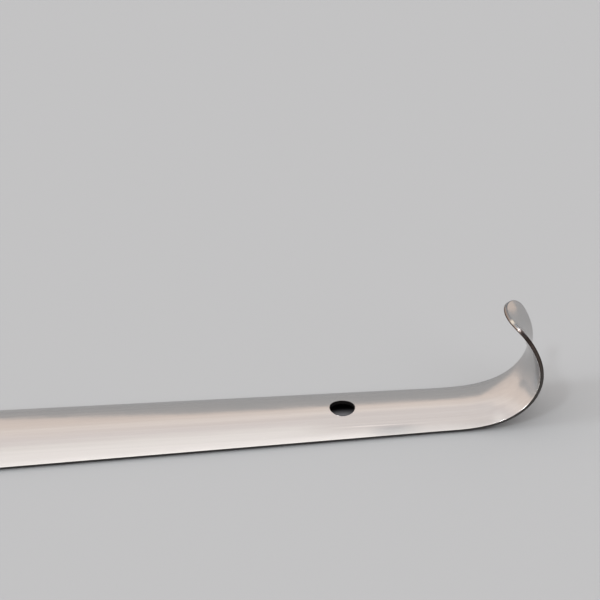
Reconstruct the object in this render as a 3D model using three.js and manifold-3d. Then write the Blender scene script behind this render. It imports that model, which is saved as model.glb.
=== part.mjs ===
// Long shoehorn with a hooked handle, pressed from one strip of stainless steel.
//
// The piece is made the way a press makes it. A flat blank with two round ends
// is arched across its width, its wide end is dished into the blade, its narrow
// end is curled up into the hook, and the hanging hole is pierced through the
// crown just before the hook.
//
// Millimetres, +Z up. The shoehorn lies crown up with both long edges on Z = 0.
// +X runs along it from the blade to the hook, and +Y runs across it.
import * as THREE from 'three';
import { mergeVertices } from 'three/addons/utils/BufferGeometryUtils.js';
import Module from 'manifold-3d';

// ---- driving dimensions ----------------------------------------------------
// Widths and bend radii are taken at the middle of the sheet.
const SHEET_THICKNESS = 1.2;
const BLADE_WIDTH = 44.5;
const BLADE_ROUND_LENGTH = 45;
const TAPER_LENGTH = 507;
const HANDLE_WIDTH = 19.5;
const HOLE_DIAMETER = 7;
const HOLE_TO_HOOK = 27.5;

// The hook eases into its tight bend, holds it, and eases out into its tip.
const HOOK_EASE_IN = 25;
const HOOK_HOLD = 11;
const HOOK_EASE_OUT = 12;
const HOOK_TIP = 9.5;
const BEND_RADIUS = 15.8;
const TIP_BEND_RADIUS = 38;
const TIP_ROUND_LENGTH = 9.7;

// Half angles of the arch across the strip. The tight bend pulls the arch
// flatter, and it stays nearly as flat up to the hook's tip.
const ARCH_ANGLE = THREE.MathUtils.degToRad(31);
const BEND_ARCH_ANGLE = THREE.MathUtils.degToRad(19);
const CUPPED_ARCH_ANGLE = THREE.MathUtils.degToRad(20);
const TIP_ARCH_ANGLE = THREE.MathUtils.degToRad(24);

// ---- steps of the mesh -----------------------------------------------------
const STEPS_ACROSS = 12;
const BLADE_STEPS = 14;
const TAPER_STEPS = 40;
const HOOK_STEPS = 42;
const BEND_STEPS = 64;
const HOLE_SIDES = 32;

// ---- places along the blank, measured from the blade's end -----------------
const HOOK_START = BLADE_ROUND_LENGTH + TAPER_LENGTH;
const BEND_START = HOOK_START + HOOK_EASE_IN;
const BEND_END = BEND_START + HOOK_HOLD;
const TIP_START = BEND_END + HOOK_EASE_OUT;
const BLANK_LENGTH = TIP_START + HOOK_TIP;
const TIP_ROUND_START = BLANK_LENGTH - TIP_ROUND_LENGTH;
const HOLE_PLACE = HOOK_START - HOLE_TO_HOOK;

const CURVATURES = [
  [HOOK_START, 0],
  [BEND_START, 1 / BEND_RADIUS],
  [BEND_END, 1 / BEND_RADIUS],
  [TIP_START, 1 / TIP_BEND_RADIUS],
  [BLANK_LENGTH, 1 / TIP_BEND_RADIUS],
];
const ARCH_ANGLES = [
  [HOOK_START, ARCH_ANGLE],
  [(BEND_START + BEND_END) / 2, BEND_ARCH_ANGLE],
  [TIP_START, CUPPED_ARCH_ANGLE],
  [BLANK_LENGTH, TIP_ARCH_ANGLE],
];

// The value at a place among stations, which are [place, value] pairs. The blend
// turns the way from one station to the next, 0 to 1, into a share of the change.
function valueAt(stations, place, blend) {
  const following = stations.findIndex(([at]) => at > place);
  if (following === 0) return stations[0][1];
  if (following < 0) return stations[stations.length - 1][1];
  const [from, before] = stations[following - 1];
  const [to, after] = stations[following];
  const way = (place - from) / (to - from);
  return THREE.MathUtils.lerp(before, after, blend(way));
}

const straight = (way) => way;
const eased = (way) => THREE.MathUtils.smoothstep(way, 0, 1);

// Half the strip's width, before its ends are rounded.
function halfWidth(place) {
  const gain = (BLADE_WIDTH - HANDLE_WIDTH) / 2 / TAPER_LENGTH;
  return HANDLE_WIDTH / 2 + gain * Math.max(HOOK_START - place, 0);
}

// How far a place lies into a round end: 0 where the rounding starts, 1 at the tip.
function intoBlade(place) {
  return Math.max(BLADE_ROUND_LENGTH - place, 0) / BLADE_ROUND_LENGTH;
}

function intoTip(place) {
  return Math.max(place - TIP_ROUND_START, 0) / TIP_ROUND_LENGTH;
}

// The outline of the flat blank. A square grid is drawn into the two half
// ellipses of its ends, and its corners slide along the rim. The side runs from
// -1 to 1 across the strip's width.
function blankPoint(place, side) {
  const blade = intoBlade(place);
  const tip = intoTip(place);
  const narrowing = Math.sqrt(1 - (blade ** 2 + tip ** 2) / 2);
  const shortening = 1 - Math.sqrt(1 - side ** 2 / 2);
  return {
    place: place + shortening * (blade * BLADE_ROUND_LENGTH - tip * TIP_ROUND_LENGTH),
    side: side * narrowing,
  };
}

// The line under the middle of the strip: straight, then curled up into the hook.
function baseLine(place) {
  const step = Math.max(place - HOOK_START, 0) / BEND_STEPS;
  const line = { x: Math.min(place, HOOK_START), z: 0, heading: 0 };
  for (let index = 0; index < BEND_STEPS; index += 1) {
    const middle = HOOK_START + (index + 0.5) * step;
    const turn = step * valueAt(CURVATURES, middle, straight);
    line.x += step * Math.cos(line.heading + turn / 2);
    line.z += step * Math.sin(line.heading + turn / 2);
    line.heading += turn;
  }
  return line;
}

// A point of the pressed strip. The arch across it is a circle's arc, with both
// lower corners of its rim on the base line. In the blade's round end the rim
// stays on that line, so the crown dips into a dish. The depth is measured from
// the middle of the sheet, outwards.
function pressedPoint(place, side, depth) {
  const angle = valueAt(ARCH_ANGLES, place, eased);
  const radius = halfWidth(place) / Math.sin(angle);
  const rimSide = Math.sqrt(1 - intoBlade(place) ** 2);
  const rimAngle = Math.asin(rimSide * Math.sin(angle));
  const lean = Math.asin(side * Math.sin(angle));
  const centre = SHEET_THICKNESS / 2 * Math.cos(rimAngle) - radius * Math.cos(rimAngle);
  const height = centre + (radius + depth) * Math.cos(lean);
  const line = baseLine(place);
  return new THREE.Vector3(
    line.x - height * Math.sin(line.heading),
    (radius + depth) * Math.sin(lean),
    line.z + height * Math.cos(line.heading),
  );
}

// The pressed strip, as a gridded sheet whose points are moved into their shape.
function pressedStrip() {
  const steps = BLADE_STEPS + TAPER_STEPS + HOOK_STEPS;
  const stations = [
    [0, 0],
    [BLADE_STEPS, BLADE_ROUND_LENGTH],
    [BLADE_STEPS + TAPER_STEPS, HOOK_START],
    [steps, BLANK_LENGTH],
  ];
  const sheet = new THREE.BoxGeometry(steps, 2, SHEET_THICKNESS, steps, STEPS_ACROSS, 1);
  const points = sheet.getAttribute('position');
  for (let index = 0; index < points.count; index += 1) {
    const place = valueAt(stations, points.getX(index) + steps / 2, straight);
    const blank = blankPoint(place, points.getY(index));
    const point = pressedPoint(blank.place, blank.side, points.getZ(index));
    points.setXYZ(index, point.x, point.y, point.z);
  }
  return sheet;
}

// The drill of the hanging hole, upright on the crown.
function holeDrill() {
  const crown = pressedPoint(HOLE_PLACE, 0, 0);
  const drill = new THREE.CylinderGeometry(
    HOLE_DIAMETER / 2, HOLE_DIAMETER / 2, HOLE_DIAMETER, HOLE_SIDES,
  );
  drill.rotateX(Math.PI / 2);
  drill.translate(crown.x, crown.y, crown.z);
  return drill;
}

function toSolid(wasm, geometry) {
  geometry.deleteAttribute('normal');
  geometry.deleteAttribute('uv');
  const merged = mergeVertices(geometry);
  return new wasm.Manifold(new wasm.Mesh({
    numProp: 3,
    vertProperties: new Float32Array(merged.getAttribute('position').array),
    triVerts: new Uint32Array(merged.index.array),
  }));
}

function toGeometry(solid) {
  const mesh = solid.getMesh();
  const geometry = new THREE.BufferGeometry();
  geometry.setAttribute('position', new THREE.BufferAttribute(mesh.vertProperties, 3));
  geometry.setIndex(new THREE.BufferAttribute(mesh.triVerts, 1));
  geometry.computeVertexNormals();
  return geometry;
}

// The origin goes under the middle of the strip's box, on the surface it lies on.
function standOnOrigin(geometry) {
  geometry.computeBoundingBox();
  const middle = geometry.boundingBox.getCenter(new THREE.Vector3());
  geometry.translate(-middle.x, -middle.y, -geometry.boundingBox.min.z);
}

const wasm = await Module();
wasm.setup();

const solid = toSolid(wasm, pressedStrip()).subtract(toSolid(wasm, holeDrill()));
const strip = toGeometry(solid);
standOnOrigin(strip);

const steel = new THREE.MeshStandardMaterial({ color: 0xcfc8c2, roughness: 0.25, metalness: 1 });
const shoehorn = new THREE.Mesh(strip, steel);
shoehorn.name = 'shoehorn_strip';

const part = new THREE.Group();
part.add(shoehorn);

export default part;
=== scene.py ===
"""Looks of the long steel shoehorn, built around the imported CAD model.

The CAD strip is replaced by a finer mesh of the same pressed sheet: the same
blank, arch, dish and hook, with a dense grid, a rounded rim, a clean hole, and
the near flank of the hook pressed a little flatter. Metres, +Z up, in the CAD
frame. The camera stands on the -Y side, so near means towards -Y.
"""
import math

import bpy
import numpy as np
from mathutils import Matrix, Vector


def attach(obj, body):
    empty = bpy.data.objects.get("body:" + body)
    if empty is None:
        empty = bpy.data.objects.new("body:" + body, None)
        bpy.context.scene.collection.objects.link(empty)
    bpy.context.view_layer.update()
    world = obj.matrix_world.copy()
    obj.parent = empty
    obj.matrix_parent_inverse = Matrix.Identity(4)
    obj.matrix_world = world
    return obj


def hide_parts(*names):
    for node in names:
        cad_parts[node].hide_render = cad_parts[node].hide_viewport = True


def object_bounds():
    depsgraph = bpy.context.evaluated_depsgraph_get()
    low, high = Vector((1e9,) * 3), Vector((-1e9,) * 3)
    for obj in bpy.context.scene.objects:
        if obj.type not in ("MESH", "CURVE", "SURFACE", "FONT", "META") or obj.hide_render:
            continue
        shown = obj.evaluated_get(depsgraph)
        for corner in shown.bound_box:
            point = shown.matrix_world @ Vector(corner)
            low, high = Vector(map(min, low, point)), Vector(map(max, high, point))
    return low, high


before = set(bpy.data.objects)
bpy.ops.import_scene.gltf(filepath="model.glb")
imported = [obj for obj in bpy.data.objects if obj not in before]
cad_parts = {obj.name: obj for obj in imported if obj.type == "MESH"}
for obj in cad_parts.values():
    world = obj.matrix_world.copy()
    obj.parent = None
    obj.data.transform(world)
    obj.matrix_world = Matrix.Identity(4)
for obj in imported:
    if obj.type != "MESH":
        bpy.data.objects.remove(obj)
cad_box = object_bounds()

MM = 0.001

# ---- the pressed sheet: the CAD model's driving dimensions -------------------
SHEET_THICKNESS = 1.2 * MM
BLADE_WIDTH = 44.5 * MM
BLADE_ROUND_LENGTH = 45 * MM
TAPER_LENGTH = 507 * MM
HANDLE_WIDTH = 19.5 * MM
HOLE_RADIUS = 3.5 * MM
HOLE_TO_HOOK = 27.5 * MM

HOOK_EASE_IN = 25 * MM
HOOK_HOLD = 11 * MM
HOOK_EASE_OUT = 12 * MM
HOOK_TIP = 9.5 * MM
BEND_RADIUS = 15.8 * MM
TIP_BEND_RADIUS = 38 * MM
TIP_ROUND_LENGTH = 9.7 * MM

ARCH_ANGLE = math.radians(31)
BEND_ARCH_ANGLE = math.radians(19)
CUPPED_ARCH_ANGLE = math.radians(20)
TIP_ARCH_ANGLE = math.radians(24)

# ---- places along the blank, from the blade's end ----------------------------
HOOK_START = BLADE_ROUND_LENGTH + TAPER_LENGTH
BEND_START = HOOK_START + HOOK_EASE_IN
BEND_END = BEND_START + HOOK_HOLD
TIP_START = BEND_END + HOOK_EASE_OUT
BLANK_LENGTH = TIP_START + HOOK_TIP
TIP_ROUND_START = BLANK_LENGTH - TIP_ROUND_LENGTH
HOLE_PLACE = HOOK_START - HOLE_TO_HOOK
CREASE_MIDDLE = HOLE_PLACE + 12 * MM

# ---- the fine mesh -------------------------------------------------------------
# The rim is rounded between each skin and the cut wall. The first steps of the
# round on the upper skin are still polished. A narrow margin of cells beside the
# rim and the hole keeps the shading of the round off the skins.
RIM_RADIUS = 0.15 * MM
HOLE_RIM_RADIUS = 0.1 * MM
RIM_ROUND_STEPS = 5
RIM_WALL_STEPS = 6
POLISHED_ROUND_STEPS = 2
RIM_MARGIN = 0.12 * MM
RIM_MARGIN_SIDE = 0.988

# The flattened flank of the hook: where it sets in before the bend's end, and the
# share of its width that is rounded at the crown.
FLANK_EASE_IN = 9 * MM
FLANK_CORNER = 0.25

# Steps of the grid. The hole's zone has closer rows, to this far from the hole's
# middle, and that is where the hole's upright wall fades into the leaning sheet.
STEPS_ACROSS = 48
BLADE_STEPS = 64
SHAFT_STEPS = 130
HOLE_ZONE = 6 * MM
HOLE_ZONE_STEPS = 24
NECK_STEPS = 26
HOOK_STEPS = 220

# The patch of rings round the hole: its half sizes in cells, and its rings.
HOLE_PATCH_ALONG = 10
HOLE_PATCH_ACROSS = 12
HOLE_PATCH_RINGS = 6

# Steps in which the hook's bend is summed up.
BEND_TABLE_STEPS = 4000


def eased(way):
    """A way from 0 to 1 that starts and ends softly."""
    return way * way * (3 - 2 * way)


def half_width(place):
    """Half the strip's width, before its ends are rounded."""
    gain = (BLADE_WIDTH - HANDLE_WIDTH) / 2 / TAPER_LENGTH
    return HANDLE_WIDTH / 2 + gain * np.maximum(HOOK_START - place, 0)


def arch_angle(place):
    """Half angle of the arch: flatter in the tight bend, and nearly so up to the tip."""
    places = [HOOK_START, (BEND_START + BEND_END) / 2, TIP_START, BLANK_LENGTH]
    angles = [ARCH_ANGLE, BEND_ARCH_ANGLE, CUPPED_ARCH_ANGLE, TIP_ARCH_ANGLE]
    way = np.interp(place, places, range(len(places)))
    whole = np.minimum(np.floor(way), len(places) - 2)
    return np.interp(whole + eased(way - whole), range(len(places)), angles)


def bend_table():
    """The base line through the hook: places, X, Z and heading, summed in small steps."""
    places = np.linspace(HOOK_START, BLANK_LENGTH, BEND_TABLE_STEPS)
    stations = [HOOK_START, BEND_START, BEND_END, TIP_START, BLANK_LENGTH]
    curvatures = [0, 1 / BEND_RADIUS, 1 / BEND_RADIUS, 1 / TIP_BEND_RADIUS, 1 / TIP_BEND_RADIUS]
    curvature = np.interp(places, stations, curvatures)
    step = places[1] - places[0]
    heading = np.concatenate([[0], np.cumsum((curvature[1:] + curvature[:-1]) / 2 * step)])
    middle = (heading[1:] + heading[:-1]) / 2
    x = HOOK_START + np.concatenate([[0], np.cumsum(np.cos(middle) * step)])
    z = np.concatenate([[0], np.cumsum(np.sin(middle) * step)])
    return places, x, z, heading


BEND = bend_table()


def into_blade(place):
    """0 where the blade's rounding starts, 1 at its end."""
    return np.maximum(BLADE_ROUND_LENGTH - place, 0) / BLADE_ROUND_LENGTH


def flank_dip(place, across, angle, radius):
    """How far the near flank of the curled hook lies inside the arch.

    The bend left that flank almost straight between the crown and the rim.
    """
    stations = [BEND_END - FLANK_EASE_IN, BEND_END, TIP_START, BLANK_LENGTH]
    share = np.interp(place, stations, [0, 1, 1, 0])
    side = np.clip(-across / half_width(place), 0, 1)
    rise = radius * (1 - np.cos(angle))
    arc = (1 - np.cos(np.arcsin(np.clip(-across / radius, 0, 1)))) / (1 - np.cos(angle))
    slope = 1 / (1 - FLANK_CORNER / 2)
    rounded = slope * side ** 2 / (2 * FLANK_CORNER)
    straight = slope * (side - FLANK_CORNER / 2)
    flat_flank = np.where(side < FLANK_CORNER, rounded, straight)
    return eased(share) * rise * (flat_flank - np.minimum(arc, 1))


def upright(place, across):
    """1 at the hole's wall, which was pierced straight down, fading to 0 around it."""
    away = np.hypot(place - HOLE_PLACE, across)
    return np.clip((HOLE_ZONE - away) / (HOLE_ZONE - HOLE_RADIUS), 0, 1)


def pressed(flat, depth):
    """Flat points (place, across) at a depth from the sheet's middle, pressed into shape."""
    place, across = flat[:, 0], flat[:, 1]
    angle = arch_angle(place)
    radius = half_width(place) / np.sin(angle)
    across = across * (1 - upright(place, across) * depth / (radius + depth))
    rim_side = np.sqrt(1 - np.clip(into_blade(place), 0, 1) ** 2)
    rim_angle = np.arcsin(rim_side * np.sin(angle))
    lean = np.arcsin(across / radius)
    centre = (SHEET_THICKNESS / 2 - radius) * np.cos(rim_angle)
    height = centre + (radius + depth) * np.cos(lean) - flank_dip(place, across, angle, radius)
    places, line_x, line_z, line_heading = BEND
    heading = np.interp(place, places, line_heading)
    x = np.where(place < HOOK_START, place, np.interp(place, places, line_x))
    z = np.interp(place, places, line_z)
    return np.stack([
        x - height * np.sin(heading),
        (radius + depth) * np.sin(lean),
        z + height * np.cos(heading),
    ], axis=1)


def stations_along():
    """Places of the grid's rows, close together at the rim, the hole and the hook."""
    tip = BLANK_LENGTH - RIM_RADIUS
    runs = [
        (RIM_RADIUS, RIM_RADIUS + RIM_MARGIN, 1),
        (RIM_RADIUS + RIM_MARGIN, BLADE_ROUND_LENGTH, BLADE_STEPS - 1),
        (BLADE_ROUND_LENGTH, HOLE_PLACE - HOLE_ZONE, SHAFT_STEPS),
        (HOLE_PLACE - HOLE_ZONE, HOLE_PLACE + HOLE_ZONE, HOLE_ZONE_STEPS),
        (HOLE_PLACE + HOLE_ZONE, HOOK_START, NECK_STEPS),
        (HOOK_START, tip - RIM_MARGIN, HOOK_STEPS),
    ]
    rows = [np.linspace(start, end, steps, endpoint=False) for start, end, steps in runs]
    return np.concatenate(rows + [[tip - RIM_MARGIN, tip]])


def stations_across():
    """Sides of the grid's columns, even but for a narrow one along each rim."""
    inner = np.linspace(-RIM_MARGIN_SIDE, RIM_MARGIN_SIDE, STEPS_ACROSS - 1)
    return np.concatenate([[-1], inner, [1]])


def flat_grid():
    """The face of the blank inside its rounded rim, as rows of flat points.

    A square grid is drawn into the half ellipses of its two ends.
    """
    place, side = np.meshgrid(stations_along(), stations_across(), indexing="ij")
    blade_length = BLADE_ROUND_LENGTH - RIM_RADIUS
    tip_length = TIP_ROUND_LENGTH - RIM_RADIUS
    blade = np.maximum(BLADE_ROUND_LENGTH - place, 0) / blade_length
    tip = np.maximum(place - TIP_ROUND_START, 0) / tip_length
    shortening = 1 - np.sqrt(1 - side ** 2 / 2)
    place = place + shortening * (blade * blade_length - tip * tip_length)
    narrowing = np.sqrt(1 - (blade ** 2 + tip ** 2) / 2)
    across = side * narrowing * (half_width(place) - RIM_RADIUS)
    return np.stack([place, across], axis=2)


def rectangle_loop(first_row, last_row, first_column, last_column):
    """Grid (row, column) pairs round a rectangle, anticlockwise seen from above."""
    rows = range(first_row, last_row)
    columns = range(first_column, last_column)
    loop = [(row, first_column) for row in rows]
    loop += [(last_row, column) for column in columns]
    loop += [(row, last_column) for row in range(last_row, first_row, -1)]
    loop += [(first_row, column) for column in range(last_column, first_column, -1)]
    return loop


def bridge(first, second):
    """Quads between two closed loops of the same length."""
    count = len(first)
    return [
        (first[k], first[(k + 1) % count], second[(k + 1) % count], second[k])
        for k in range(count)
    ]


def hole_rings(square):
    """Loops of flat points that lead from a square loop to the edge of the hole."""
    centre = np.array([HOLE_PLACE, 0])
    towards = (square - centre) / np.linalg.norm(square - centre, axis=1, keepdims=True)
    circle = centre + towards * (HOLE_RADIUS + HOLE_RIM_RADIUS)
    margin = circle + towards * RIM_MARGIN
    shares = np.arange(1, HOLE_PATCH_RINGS + 1) / HOLE_PATCH_RINGS
    return [square + (margin - square) * share for share in shares] + [circle]


def blank_face():
    """One face of the blank: flat points, quads, and its outer and hole loops."""
    grid = flat_grid()
    rows, columns = grid.shape[:2]
    points = list(grid.reshape(-1, 2))
    hole_row = BLADE_STEPS + SHAFT_STEPS + HOLE_ZONE_STEPS // 2
    middle = STEPS_ACROSS // 2
    low_row, high_row = hole_row - HOLE_PATCH_ALONG, hole_row + HOLE_PATCH_ALONG
    low_column, high_column = middle - HOLE_PATCH_ACROSS, middle + HOLE_PATCH_ACROSS

    def number(row, column):
        return row * columns + column

    quads = [
        (number(row, column), number(row + 1, column),
         number(row + 1, column + 1), number(row, column + 1))
        for row in range(rows - 1)
        for column in range(columns - 1)
        if not (low_row <= row < high_row and low_column <= column < high_column)
    ]
    outer = [number(*pair) for pair in rectangle_loop(0, rows - 1, 0, columns - 1)]
    patch = [number(*pair) for pair in rectangle_loop(low_row, high_row, low_column, high_column)]
    previous = patch
    for ring in hole_rings(np.array([points[k] for k in patch])):
        current = list(range(len(points), len(points) + len(patch)))
        points += list(ring)
        quads += bridge(previous, current)
        previous = current
    used = sorted({k for quad in quads for k in quad})
    renumber = {old: new for new, old in enumerate(used)}
    return (
        np.array([points[k] for k in used]),
        [tuple(renumber[k] for k in quad) for quad in quads],
        [renumber[k] for k in outer],
        [renumber[k] for k in previous],
    )


def rim_profile(radius):
    """(outwards, depth) pairs from the upper face round the rim to the lower face."""
    half = SHEET_THICKNESS / 2
    angles = np.linspace(0, math.pi / 2, RIM_ROUND_STEPS + 1)
    upper = [(radius * math.sin(a), half - radius * (1 - math.cos(a))) for a in angles]
    wall = np.linspace(half - radius, radius - half, RIM_WALL_STEPS + 1)[1:-1]
    lower = [(out, -depth) for out, depth in reversed(upper)]
    return upper + [(radius, depth) for depth in wall] + lower


def rim_directions(loop_points):
    """Unit directions that point outwards, in the flat blank, from a loop's points."""
    along = np.roll(loop_points, -1, axis=0) - np.roll(loop_points, 1, axis=0)
    outwards = np.stack([along[:, 1], -along[:, 0]], axis=1)
    return outwards / np.linalg.norm(outwards, axis=1, keepdims=True)


def strip_mesh():
    """The pressed strip: upper skin, lower skin, rounded rim and hole wall, joined.

    Each point also gets its place in the blank: along, across, and its depth from
    the sheet's middle, -1 on the lower skin and 1 on the upper one. Each face is
    either polished, 0, or cut, 1.
    """
    flat, quads, outer, hole = blank_face()
    half = SHEET_THICKNESS / 2
    count = len(flat)
    blanks, shaped = [], []

    def press(points, depth):
        blanks.append(np.column_stack([points, np.full(len(points), depth / half)]))
        shaped.append(pressed(points, depth))

    press(flat, half)
    press(flat, -half)
    faces = list(quads)
    faces += [tuple(k + count for k in reversed(quad)) for quad in quads]
    is_cut = [0] * len(faces)
    used = 2 * count

    around_hole = flat[hole] - np.array([HOLE_PLACE, 0])
    into_hole = -around_hole / np.linalg.norm(around_hole, axis=1, keepdims=True)
    for loop, outwards, radius, polished_steps in (
        (outer, rim_directions(flat[outer]), RIM_RADIUS, POLISHED_ROUND_STEPS),
        (hole, into_hole, HOLE_RIM_RADIUS, 0),
    ):
        rings = [loop]
        for out, depth in rim_profile(radius)[1:-1]:
            press(flat[loop] + outwards * out, depth)
            rings.append(list(range(used, used + len(loop))))
            used += len(loop)
        rings.append([k + count for k in loop])
        for k in range(len(rings) - 1):
            faces += bridge(rings[k + 1], rings[k])
            is_cut += [int(k >= polished_steps)] * len(loop)
    return np.concatenate(shaped), np.concatenate(blanks), faces, is_cut


def add_object(name, data):
    made = bpy.data.objects.new(name, data)
    bpy.context.scene.collection.objects.link(made)
    return made


def make_strip():
    """The strip's object, standing on the origin as the CAD strip does."""
    points, blank, faces, is_cut = strip_mesh()
    middle = (points.min(0) + points.max(0)) / 2
    points = points - np.array([middle[0], middle[1], points[:, 2].min()])
    mesh = bpy.data.meshes.new("long_shoehorn_strip")
    mesh.from_pydata(points.tolist(), [], faces)
    mesh.polygons.foreach_set("use_smooth", [True] * len(faces))
    mesh.polygons.foreach_set("material_index", is_cut)
    spot = mesh.attributes.new("blank", "FLOAT_VECTOR", "POINT")
    spot.data.foreach_set("vector", blank.astype(np.float32).ravel())
    mesh.update()
    mesh.validate()
    return add_object("long_shoehorn_strip", mesh)


# ---- materials -----------------------------------------------------------------
class Nodes:
    """A short way to build a node tree."""

    def __init__(self, tree):
        self.tree = tree

    def add(self, kind, **settings):
        node = self.tree.nodes.new("ShaderNode" + kind)
        for name, value in settings.items():
            setattr(node, name, value)
        return node

    def link(self, output, socket):
        self.tree.links.new(output, socket)

    def value(self, value, socket):
        """A number or another node's output, into a socket."""
        if isinstance(value, bpy.types.NodeSocket):
            self.link(value, socket)
        else:
            socket.default_value = value

    def calculate(self, operation, *values):
        node = self.add("Math", operation=operation)
        for value, socket in zip(values, node.inputs):
            self.value(value, socket)
        return node.outputs[0]

    def product(self, first, *others):
        for other in others:
            first = self.calculate("MULTIPLY", first, other)
        return first

    def split(self, vector):
        """The three parts of a vector."""
        node = self.add("SeparateXYZ")
        self.link(vector, node.inputs[0])
        return tuple(node.outputs)

    def dot(self, vector, fixed):
        """The dot product of a vector and a fixed one."""
        node = self.add("VectorMath", operation="DOT_PRODUCT")
        self.link(vector, node.inputs[0])
        node.inputs[1].default_value = fixed
        return node.outputs["Value"]

    def spread(self, value, low, high, to_low=0.0, to_high=1.0):
        """A value from low to high, softly turned into one from to_low to to_high."""
        node = self.add("MapRange", interpolation_type="SMOOTHSTEP")
        for number, socket in zip((value, low, high, to_low, to_high), node.inputs):
            self.value(number, socket)
        return node.outputs[0]

    def bell(self, value, middle, reach):
        """1 at the middle, falling softly to 0 at the reach on either side."""
        away = self.calculate("ABSOLUTE", self.calculate("SUBTRACT", value, middle))
        return self.spread(away, reach, 0)

    def scaled(self, vector, scale, offset=(0, 0, 0)):
        node = self.add("Mapping")
        self.link(vector, node.inputs["Vector"])
        node.inputs["Scale"].default_value = scale
        node.inputs["Location"].default_value = offset
        return node.outputs[0]

    def noise(self, vector, detail, roughness=0.5):
        node = self.add("TexNoise")
        self.link(vector, node.inputs["Vector"])
        node.inputs["Scale"].default_value = 1.0
        node.inputs["Detail"].default_value = detail
        node.inputs["Roughness"].default_value = roughness
        return node.outputs["Fac"]

    def bump(self, height, distance, normal=None):
        node = self.add("Bump")
        node.inputs["Strength"].default_value = 1.0
        node.inputs["Distance"].default_value = distance
        self.link(height, node.inputs["Height"])
        if normal is not None:
            self.link(normal, node.inputs["Normal"])
        return node.outputs[0]

    def tint(self, share, first, second):
        """A blend of two colours, each three numbers or another node's output."""
        node = self.add("Mix", data_type="RGBA")
        self.value(share, node.inputs[0])
        for colour, socket in ((first, node.inputs[6]), (second, node.inputs[7])):
            is_output = isinstance(colour, bpy.types.NodeSocket)
            self.value(colour if is_output else (*colour, 1), socket)
        return node.outputs[2]


class Surface(Nodes):
    """The node tree of a new material, with its shader."""

    def __init__(self, name):
        self.material = bpy.data.materials.new(name)
        self.material.use_nodes = True
        self.shader = self.material.node_tree.nodes["Principled BSDF"]
        super().__init__(self.material.node_tree)

    def set(self, name, value):
        """A number, a colour or another node's output, into one of the shader's sockets."""
        self.value(value, self.shader.inputs[name])

    def blank(self):
        """A point's place in the blank, whole and as along, across and depth."""
        place = self.add("Attribute", attribute_name="blank").outputs["Vector"]
        return place, *self.split(place)

    def spot(self, along, across, place, length, side, width):
        """1 in the middle of a spot on the blank, 0 past its half length and half width."""
        return self.product(self.bell(along, place, length), self.bell(across, side, width))

    def mark(self, colour, share, mark_colour, strength=1.0):
        """A colour with a mark on it, where the share is above 0."""
        return self.tint(self.product(share, strength), colour, mark_colour)


# Colours of the polished skins, also seen along the skin, and of the marks on them. Most
# marks are painted light: shade on the neck, a patch and the bend's flank, highlights
# on the crease and the hook's tip; the bend's mottling is random tone.
STEEL_DARKER = (0.582, 0.574, 0.567)
STEEL_LIGHTER = (0.618, 0.61, 0.603)
STEEL_GRAZING = (0.8, 0.8, 0.8)
# Painted shade along the neck's near side, bluish painted shade over a patch there, and a painted
# highlight on the crease.
NECK_PAINTED_SHADE = (0.515, 0.508, 0.502)
PATCH_PAINTED_SHADE = (0.43, 0.445, 0.455)
CREASE_PAINTED_HIGHLIGHT = (0.76, 0.75, 0.74)
# Bluish painted shade on the bend's near flank, over its reflection.
FLANK_PAINTED_SHADE = (0.5, 0.53, 0.57)
MOTTLED_BEND = (0.52, 0.52, 0.52)
# Painted light on the near side of the hook tip's lower skin.
TIP_PAINTED_LIGHT = (0.7, 0.7, 0.68)

# Colours of the cut edge, darker and lighter, and of the marks on it: painted shade on
# the hole's wall, and painted tints and a painted glint on the ground tip.
SHEARED = ((0.045, 0.04, 0.038), (0.115, 0.107, 0.1))
SHEARED_HOOK = ((0.046, 0.034, 0.03), (0.115, 0.093, 0.083))
# Nearly black painted shade on the wall of the hanging hole.
HOLE_WALL_PAINTED_SHADE = (0.01, 0.009, 0.009)
# The ground tip's lighter steel, painted bluish towards the lower skin and tan towards the upper
# to tint its reflections, and its painted glint.
GROUND_TIP_AND_PAINTED_TINTS = ((0.22, 0.235, 0.25), (0.33, 0.285, 0.25))
TIP_PAINTED_GLINT = (0.66, 0.63, 0.55)
TIP_CORNER = (0.085, 0.068, 0.064)

# The noises that make the surface uneven: how fine each is per metre along, across
# and through the sheet, and how high it stands.
LINE_SCALE = (9, 4200, 0)
WIDE_LINE_SCALE = (5, 1100, 0)
HAZE_SCALE = (70, 160, 0)
RIPPLE_SCALE = (160, 220, 0)
GRAIN_SCALE = (2600, 2600, 2600)
LINE_HEIGHT = 0.0025 * MM
WIDE_LINE_HEIGHT = 0.006 * MM
RIPPLE_HEIGHT = 0.04 * MM
GRAIN_HEIGHT = 0.01 * MM

# How much of the colour's streaks comes from the wide lines, and the roughness from
# a clear spot to a hazy one, and from the sheared edge to the ground one.
WIDE_LINE_SHARE = 0.65
SKIN_ROUGHNESS = (0.17, 0.23)
EDGE_ROUGHNESS = (0.35, 0.22)


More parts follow.
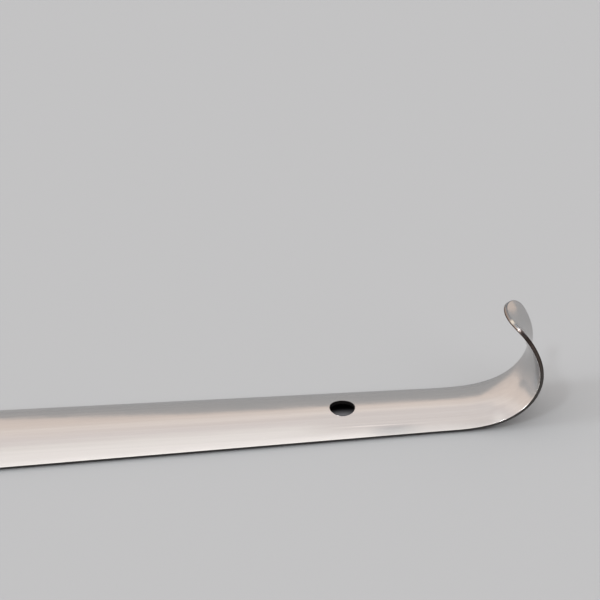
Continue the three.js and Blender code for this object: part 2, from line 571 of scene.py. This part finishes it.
def neck_painted_shade_and_highlight(n, steel, along, across, wide_lines, haze):
    """The near side between the hole and the hook, with painted light on it.

    It is painted a little darker as shade, with a bluish painted shade over a patch
    and a painted highlight along the fine crease.
    """
    neck = n.product(
        n.spread(along, HOLE_PLACE + 4 * MM, HOLE_PLACE + 12 * MM),
        n.spread(along, HOOK_START + 18 * MM, HOOK_START + 10 * MM),
        n.spread(across, -7 * MM, -9.2 * MM),
    )
    steel = n.mark(steel, neck, NECK_PAINTED_SHADE, strength=0.85)
    patch = n.product(
        n.spot(along, across, place=CREASE_MIDDLE + 2 * MM, length=10 * MM,
               side=-8.6 * MM, width=2.2 * MM),
        n.spread(wide_lines, 0.35, 0.6, to_low=0.4),
    )
    steel = n.mark(steel, patch, PATCH_PAINTED_SHADE, strength=0.85)
    crease = n.product(
        n.spot(along, across, place=CREASE_MIDDLE - 2 * MM, length=17 * MM,
               side=-7.2 * MM, width=0.28 * MM),
        n.spread(haze, 0.35, 0.6, to_low=0.6),
    )
    return n.mark(steel, crease, CREASE_PAINTED_HIGHLIGHT)


def bend_painted_shade_and_mottling(n, steel, along, across, ripple):
    """The bend's inner face: a bluish painted shade on the near flank by the rim, and slight
    mottling.
    """
    flank = n.spot(along, across, place=BEND_END + 4 * MM, length=14 * MM,
                   side=-7.6 * MM, width=2.4 * MM)
    steel = n.mark(steel, flank, FLANK_PAINTED_SHADE, strength=0.7)
    mottled = n.product(
        n.spread(ripple, 0.35, 0.65),
        n.bell(along, BEND_START - 5 * MM, 20 * MM),
    )
    return n.mark(steel, mottled, MOTTLED_BEND, strength=0.35)


def tip_painted_light(n, steel, along, across, wide_lines):
    """The hook's tip, painted a little lighter on the near side of the lower skin: painted light
    over a darker reflection.
    """
    lightened = n.product(
        n.spread(along, TIP_START, TIP_START + 4.5 * MM),
        n.bell(across, -3.6 * MM, 4.5 * MM),
        n.spread(wide_lines, 0.3, 0.55, to_low=0.7),
    )
    return n.mark(steel, lightened, TIP_PAINTED_LIGHT, strength=0.4)


def polished_steel():
    """Both skins: fine lines along the strip, a soft haze, mottling in the bend, and painted
    shade and light.
    """
    n = Surface("polished_steel")
    blank, along, across, depth = n.blank()
    lines = n.noise(n.scaled(blank, LINE_SCALE), detail=3)
    wide_lines = n.noise(n.scaled(blank, WIDE_LINE_SCALE, offset=(3, 7, 0)), detail=3)
    haze = n.noise(n.scaled(blank, HAZE_SCALE), detail=3)
    ripple = n.noise(n.scaled(blank, RIPPLE_SCALE, offset=(5, 2, 0)), detail=2)
    streaks = n.calculate(
        "ADD",
        n.product(wide_lines, WIDE_LINE_SHARE),
        n.product(lines, 1 - WIDE_LINE_SHARE),
    )
    plain = n.tint(n.spread(streaks, 0.3, 0.7), STEEL_DARKER, STEEL_LIGHTER)

    upper = neck_painted_shade_and_highlight(n, plain, along, across, wide_lines, haze)
    upper = bend_painted_shade_and_mottling(n, upper, along, across, ripple)
    lower = tip_painted_light(n, plain, along, across, wide_lines)
    n.set("Base Color", n.tint(n.spread(depth, 0.2, 0.9), lower, upper))
    n.set("Metallic", 1.0)
    n.set("Specular Tint", (*STEEL_GRAZING, 1))
    n.set("Roughness", n.spread(haze, 0.3, 0.7, *SKIN_ROUGHNESS))
    relief = n.bump(ripple, RIPPLE_HEIGHT)
    relief = n.bump(wide_lines, WIDE_LINE_HEIGHT, relief)
    n.set("Normal", n.bump(lines, LINE_HEIGHT, relief))
    return n.material


def ground_tip_and_painted_glint(n, across, depth):
    """The ground edge of the hook's tip: lighter steel with painted tints of its reflections,
    tan towards the upper skin and bluish towards the lower, a painted glint on its near
    side, and a dark corner.
    """
    tip = n.tint(n.spread(depth, -0.4, 0.3), *GROUND_TIP_AND_PAINTED_TINTS)
    tip = n.mark(tip, n.bell(across, -4.5 * MM, 1.2 * MM), TIP_PAINTED_GLINT)
    return n.mark(tip, n.bell(across, -7.6 * MM, 1.7 * MM), TIP_CORNER)


def sheared_edge():
    """The cut edge: dark where it was sheared, ground lighter round the hook's tip, with nearly
    black painted shade on the hole's wall.
    """
    n = Surface("sheared_steel_edge")
    _, along, across, depth = n.blank()
    object_place = n.add("TexCoord").outputs["Object"]
    grain = n.noise(n.scaled(object_place, GRAIN_SCALE), detail=4, roughness=0.65)
    middle = n.spread(n.calculate("ABSOLUTE", depth), 0.8, 0.2)
    shade = n.calculate("ADD", n.product(middle, 0.6), n.spread(grain, 0.35, 0.7, to_high=0.4))
    towards_hook = n.spread(along, BEND_END, BEND_END + 9 * MM)
    dark = n.tint(towards_hook, n.tint(shade, *SHEARED), n.tint(shade, *SHEARED_HOOK))
    # Painted shade: the hole's wall is painted nearly black.
    painted_hole_shade = n.spot(along, across, place=HOLE_PLACE, length=3 * HOLE_RADIUS,
                     side=0, width=2 * HOLE_RADIUS)
    dark = n.mark(dark, painted_hole_shade, HOLE_WALL_PAINTED_SHADE)
    ground = n.product(
        n.spread(along, TIP_START + 3.5 * MM, TIP_START + 6 * MM),
        n.spread(depth, 0.55, 0.2),
    )
    n.set("Base Color", n.tint(ground, dark, ground_tip_and_painted_glint(n, across, depth)))
    n.set("Metallic", 1.0)
    n.set("Roughness", n.spread(ground, 0, 1, *EDGE_ROUGHNESS))
    n.set("Normal", n.bump(grain, GRAIN_HEIGHT))
    return n.material


def plain_material(name, colour, roughness=0.9, specular=0.0):
    n = Surface(name)
    n.set("Base Color", (*colour, 1))
    n.set("Roughness", roughness)
    n.set("Specular IOR Level", specular)
    return n.material


def glowing_material(name, colour):
    n = Surface(name)
    n.set("Base Color", (0, 0, 0, 1))
    n.set("Specular IOR Level", 0.0)
    n.set("Emission Color", (*colour, 1))
    n.set("Emission Strength", 1.0)
    return n.material


# ---- floor and backdrop ----------------------------------------------------------
# The floor lies a hair below the part, which gives the contact line its shadow. Two
# more planes lie just above it: the sheen that only the steel sees, and a patch of
# painted shade, darker than the floor, that shows through the hanging hole.
FLOOR_SIZE = 30
FLOOR_COLOUR = (0.424, 0.449, 0.469)
FLOOR_DROP = 0.25 * MM
SHEEN_DROP = 0.95 * FLOOR_DROP
SHEEN_ROUGHNESS = 0.1
SHEEN_SPECULAR = 0.15

HOLE_X = cad_box[0][0] + HOLE_PLACE
HOLE_FLOOR_DROP = 0.9 * FLOOR_DROP
HOLE_FLOOR_LENGTH = 30 * MM
HOLE_FLOOR_WIDTH = 16 * MM
# Painted shade seen through the hole: the distance past its middle, towards the far side, where
# it is lightest and where darkest, with the colours.
HOLE_FLOOR_LIT = (1.9 * MM, (0.245, 0.25, 0.27))
HOLE_FLOOR_DARK = (5 * MM, (0.012, 0.012, 0.013))

DOME_RADIUS = 14
DOME_COLOUR = (0.552, 0.552, 0.552)
DOME_RINGS = 12
DOME_SIDES = 48


def flat_card(name, corners, material):
    mesh = bpy.data.meshes.new(name)
    mesh.from_pydata(corners, [], [tuple(range(len(corners)))])
    mesh.materials.append(material)
    card = add_object(name, mesh)
    return card


def level_corners(length, width, x, drop):
    """Corners of a level rectangle round a middle on the X axis."""
    left, right = x - length / 2, x + length / 2
    near, far = -width / 2, width / 2
    return [(left, near, -drop), (right, near, -drop), (right, far, -drop), (left, far, -drop)]


def only_in_steel(card):
    card.visible_camera = False
    card.visible_diffuse = False
    card.visible_shadow = False


def make_floor():
    floor = plain_material("pale_floor", FLOOR_COLOUR)
    flat_card("floor", level_corners(FLOOR_SIZE, FLOOR_SIZE, 0, FLOOR_DROP), floor)
    sheen = plain_material("floor_sheen", FLOOR_COLOUR, SHEEN_ROUGHNESS, SHEEN_SPECULAR)
    corners = level_corners(FLOOR_SIZE, FLOOR_SIZE, 0, SHEEN_DROP)
    only_in_steel(flat_card("floor_in_steel", corners, sheen))


def hole_shade_material():
    """Painted shade for the floor deep inside the arch: darker and darker away from the hole's
    near side.
    """
    n = Surface("painted_shade_in_hole")
    _, across, _ = n.split(n.add("TexCoord").outputs["Object"])
    lit_at, lit = HOLE_FLOOR_LIT
    dark_at, dark = HOLE_FLOOR_DARK
    n.set("Base Color", n.tint(n.spread(across, dark_at, lit_at), dark, lit))
    n.set("Roughness", 0.9)
    n.set("Specular IOR Level", 0.0)
    return n.material


def make_hole_shade():
    """A patch of painted shade on the floor inside the arch, seen only through the hanging hole.
    """
    corners = level_corners(HOLE_FLOOR_LENGTH, HOLE_FLOOR_WIDTH, HOLE_X, HOLE_FLOOR_DROP)
    flat_card("painted_shade_in_hole", corners, hole_shade_material())


def make_backdrop():
    """A plain grey dome far away, seen only by the camera."""
    points = []
    for ring in range(DOME_RINGS + 1):
        rise = math.pi / 2 * ring / DOME_RINGS
        for side in range(DOME_SIDES):
            turn = 2 * math.pi * side / DOME_SIDES
            points.append((
                DOME_RADIUS * math.cos(rise) * math.cos(turn),
                DOME_RADIUS * math.cos(rise) * math.sin(turn),
                DOME_RADIUS * math.sin(rise) - FLOOR_DROP,
            ))
    faces = []
    for ring in range(DOME_RINGS):
        low = [ring * DOME_SIDES + side for side in range(DOME_SIDES)]
        faces += bridge(low, [k + DOME_SIDES for k in low])
    mesh = bpy.data.meshes.new("backdrop")
    mesh.from_pydata(points, [], faces)
    mesh.polygons.foreach_set("use_smooth", [True] * len(faces))
    mesh.materials.append(glowing_material("backdrop_grey", DOME_COLOUR))
    dome = add_object("backdrop", mesh)
    dome.visible_diffuse = False
    dome.visible_glossy = False
    dome.visible_shadow = False
    dome.visible_transmission = False


# ---- surroundings ----------------------------------------------------------------
# Colours by the angle in degrees from the brightest direction, which is overhead
# and towards the camera.
BRIGHTEST = (0, -0.5, 0.866)
SURROUNDINGS = [
    (0, (2.0, 1.95, 1.9)),
    (14, (1.9, 1.85, 1.8)),
    (23, (1.34, 1.27, 1.24)),
    (28, (1.27, 1.20, 1.17)),
    (40, (1.27, 1.21, 1.17)),
    (46, (1.19, 1.12, 1.08)),
    (52, (1.08, 1.00, 0.97)),
    (58, (1.01, 0.92, 0.90)),
    (64, (1.08, 0.98, 0.93)),
    (70, (1.16, 1.04, 0.98)),
    (76, (1.08, 0.97, 0.90)),
    (83, (1.04, 0.90, 0.82)),
    (180, (0.95, 0.84, 0.77)),
]

# A dark round patch low on the camera's side, and the angles in degrees from its
# middle at which it starts and has finished fading.
DARK_SIDE = (-0.1, -0.96, 0.26)
DARK_INNER = 33
DARK_OUTER = 42
DARK_COLOUR = (0.12, 0.11, 0.11)


def sky_ramp(n, share):
    """The surroundings' colour at a share of the half turn from the brightest direction."""
    ramp = n.add("ValToRGB")
    stops = ramp.color_ramp.elements
    while len(stops) < len(SURROUNDINGS):
        stops.new(0.5)
    for stop, (degrees, colour) in zip(stops, SURROUNDINGS):
        stop.position = degrees / 180
        stop.color = (*colour, 1)
    n.link(share, ramp.inputs[0])
    return ramp.outputs[0]


def make_world():
    world = bpy.data.worlds.new("soft_surroundings")
    bpy.context.scene.world = world
    world.use_nodes = True
    n = Nodes(world.node_tree)
    outwards = n.add("TexCoord").outputs["Generated"]
    angle = n.calculate("ARCCOSINE", n.dot(outwards, BRIGHTEST))
    sky = sky_ramp(n, n.calculate("DIVIDE", angle, math.pi))
    start = math.cos(math.radians(DARK_OUTER))
    full = math.cos(math.radians(DARK_INNER))
    dark = n.spread(n.dot(outwards, DARK_SIDE), start, full)
    n.link(n.tint(dark, sky, DARK_COLOUR), world.node_tree.nodes["Background"].inputs["Color"])


# ---- cards and lights ------------------------------------------------------------
# Glowing cards round the object, seen only in the steel. The far and right ones
# make a grey corner of the room. The left and warm ones have their corners as
# (azimuth in degrees, height) pairs round the hook's foot.
GREY = (0.54, 0.535, 0.535)
WARM = (0.93, 0.79, 0.705)
OVERHEAD = (1.03, 0.95, 0.92)

ROOM_BACK = 0.53
ROOM_FRONT = -0.2
ROOM_RIGHT = 0.75
ROOM_HEIGHT = 0.342
FAR_CARD_LEFT_LOW = 0.071
FAR_CARD_LEFT_HIGH = 0.238

HOOK_X = 0.27
LEFT_CARD_AWAY = 0.6
LEFT_CARD_CORNERS = [(-66, 0), (-40, 0), (-43, 0.08), (-64, 0.04)]
WARM_CARD_AWAY = 0.1
WARM_CARD_CORNERS = [(38, 0.014), (53, 0.016), (58, 0.03), (38, 0.03)]

OVERHEAD_HEIGHT = 0.12
OVERHEAD_LEFT = 0.238
OVERHEAD_RIGHT = 0.33
OVERHEAD_FRONT = -0.005
OVERHEAD_BACK = 0.09


def direction(azimuth, elevation):
    """Unit vector; azimuth 0 is +Y and 90 is +X."""
    a, e = math.radians(azimuth), math.radians(elevation)
    return Vector((math.sin(a) * math.cos(e), math.cos(a) * math.cos(e), math.sin(e)))


def around_hook(corners, away):
    """Card corners at a distance from the hook's foot."""
    return [
        tuple(Vector((HOOK_X, 0, height)) + direction(azimuth, 0) * away)
        for azimuth, height in corners
    ]


def make_cards():
    grey = glowing_material("grey_card", GREY)
    warm = glowing_material("warm_card", WARM)
    overhead = glowing_material("overhead_card", OVERHEAD)
    cards = {
        "far_card": (grey, [
            (FAR_CARD_LEFT_LOW, ROOM_BACK, 0),
            (ROOM_RIGHT, ROOM_BACK, 0),
            (ROOM_RIGHT, ROOM_BACK, ROOM_HEIGHT),
            (FAR_CARD_LEFT_HIGH, ROOM_BACK, ROOM_HEIGHT),
        ]),
        "right_card": (grey, [
            (ROOM_RIGHT, ROOM_BACK, 0),
            (ROOM_RIGHT, ROOM_FRONT, 0),
            (ROOM_RIGHT, ROOM_FRONT, ROOM_HEIGHT),
            (ROOM_RIGHT, ROOM_BACK, ROOM_HEIGHT),
        ]),
        "left_card": (grey, around_hook(LEFT_CARD_CORNERS, LEFT_CARD_AWAY)),
        "warm_card": (warm, around_hook(WARM_CARD_CORNERS, WARM_CARD_AWAY)),
        "overhead_card": (overhead, [
            (OVERHEAD_LEFT, OVERHEAD_FRONT, OVERHEAD_HEIGHT),
            (OVERHEAD_RIGHT, OVERHEAD_FRONT, OVERHEAD_HEIGHT),
            (OVERHEAD_RIGHT, OVERHEAD_BACK, OVERHEAD_HEIGHT),
            (OVERHEAD_LEFT, OVERHEAD_BACK, OVERHEAD_HEIGHT),
        ]),
    }
    for name, (material, corners) in cards.items():
        only_in_steel(flat_card(name, corners, material))


def sun_light(name, azimuth, elevation, width, strength):
    """A distant light; its place in the sky and its width are in degrees."""
    data = bpy.data.lights.new(name, "SUN")
    data.angle = math.radians(width)
    data.energy = strength
    light = add_object(name, data)
    light.rotation_euler = direction(azimuth, elevation).to_track_quat("Z", "Y").to_euler()


# ---- camera ----------------------------------------------------------------------
# The hole lies this far right of the middle of the picture and above it, measured
# square to the view.
CAMERA_ELEVATION = math.radians(35.88)
CAMERA_TURN = math.radians(6.21)
CAMERA_DISTANCE = 1.0
CAMERA_LENS = 212.37
SENSOR_WIDTH = 36.0
HOLE_Z = 2.89 * MM
HOLE_RIGHT = 11.8943 * MM
HOLE_UP = -31.2332 * MM


def make_camera():
    e, turn = CAMERA_ELEVATION, CAMERA_TURN
    forward = Vector((math.sin(turn) * math.cos(e), math.cos(turn) * math.cos(e), -math.sin(e)))
    right = Vector((math.cos(turn), -math.sin(turn), 0))
    up = right.cross(forward)
    aim = Vector((HOLE_X, 0, HOLE_Z)) - right * HOLE_RIGHT - up * HOLE_UP
    data = bpy.data.cameras.new("camera")
    data.lens = CAMERA_LENS
    data.sensor_width = SENSOR_WIDTH
    data.clip_end = 100
    camera = add_object("camera", data)
    axes = Matrix((right, up, -forward)).transposed().to_4x4()
    camera.matrix_world = Matrix.Translation(aim - forward * CAMERA_DISTANCE) @ axes
    bpy.context.scene.camera = camera


# ---- the scene -------------------------------------------------------------------
strip = make_strip()
strip.data.materials.append(polished_steel())
strip.data.materials.append(sheared_edge())
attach(strip, "root")
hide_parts("shoehorn_strip")

make_floor()
make_hole_shade()
make_backdrop()
make_world()
make_cards()
sun_light("lamp", azimuth=-142, elevation=51.5, width=6, strength=0.4)
sun_light("window", azimuth=-94, elevation=23.5, width=18, strength=0.85)
make_camera()
bpy.context.scene.view_settings.view_transform = "Standard"
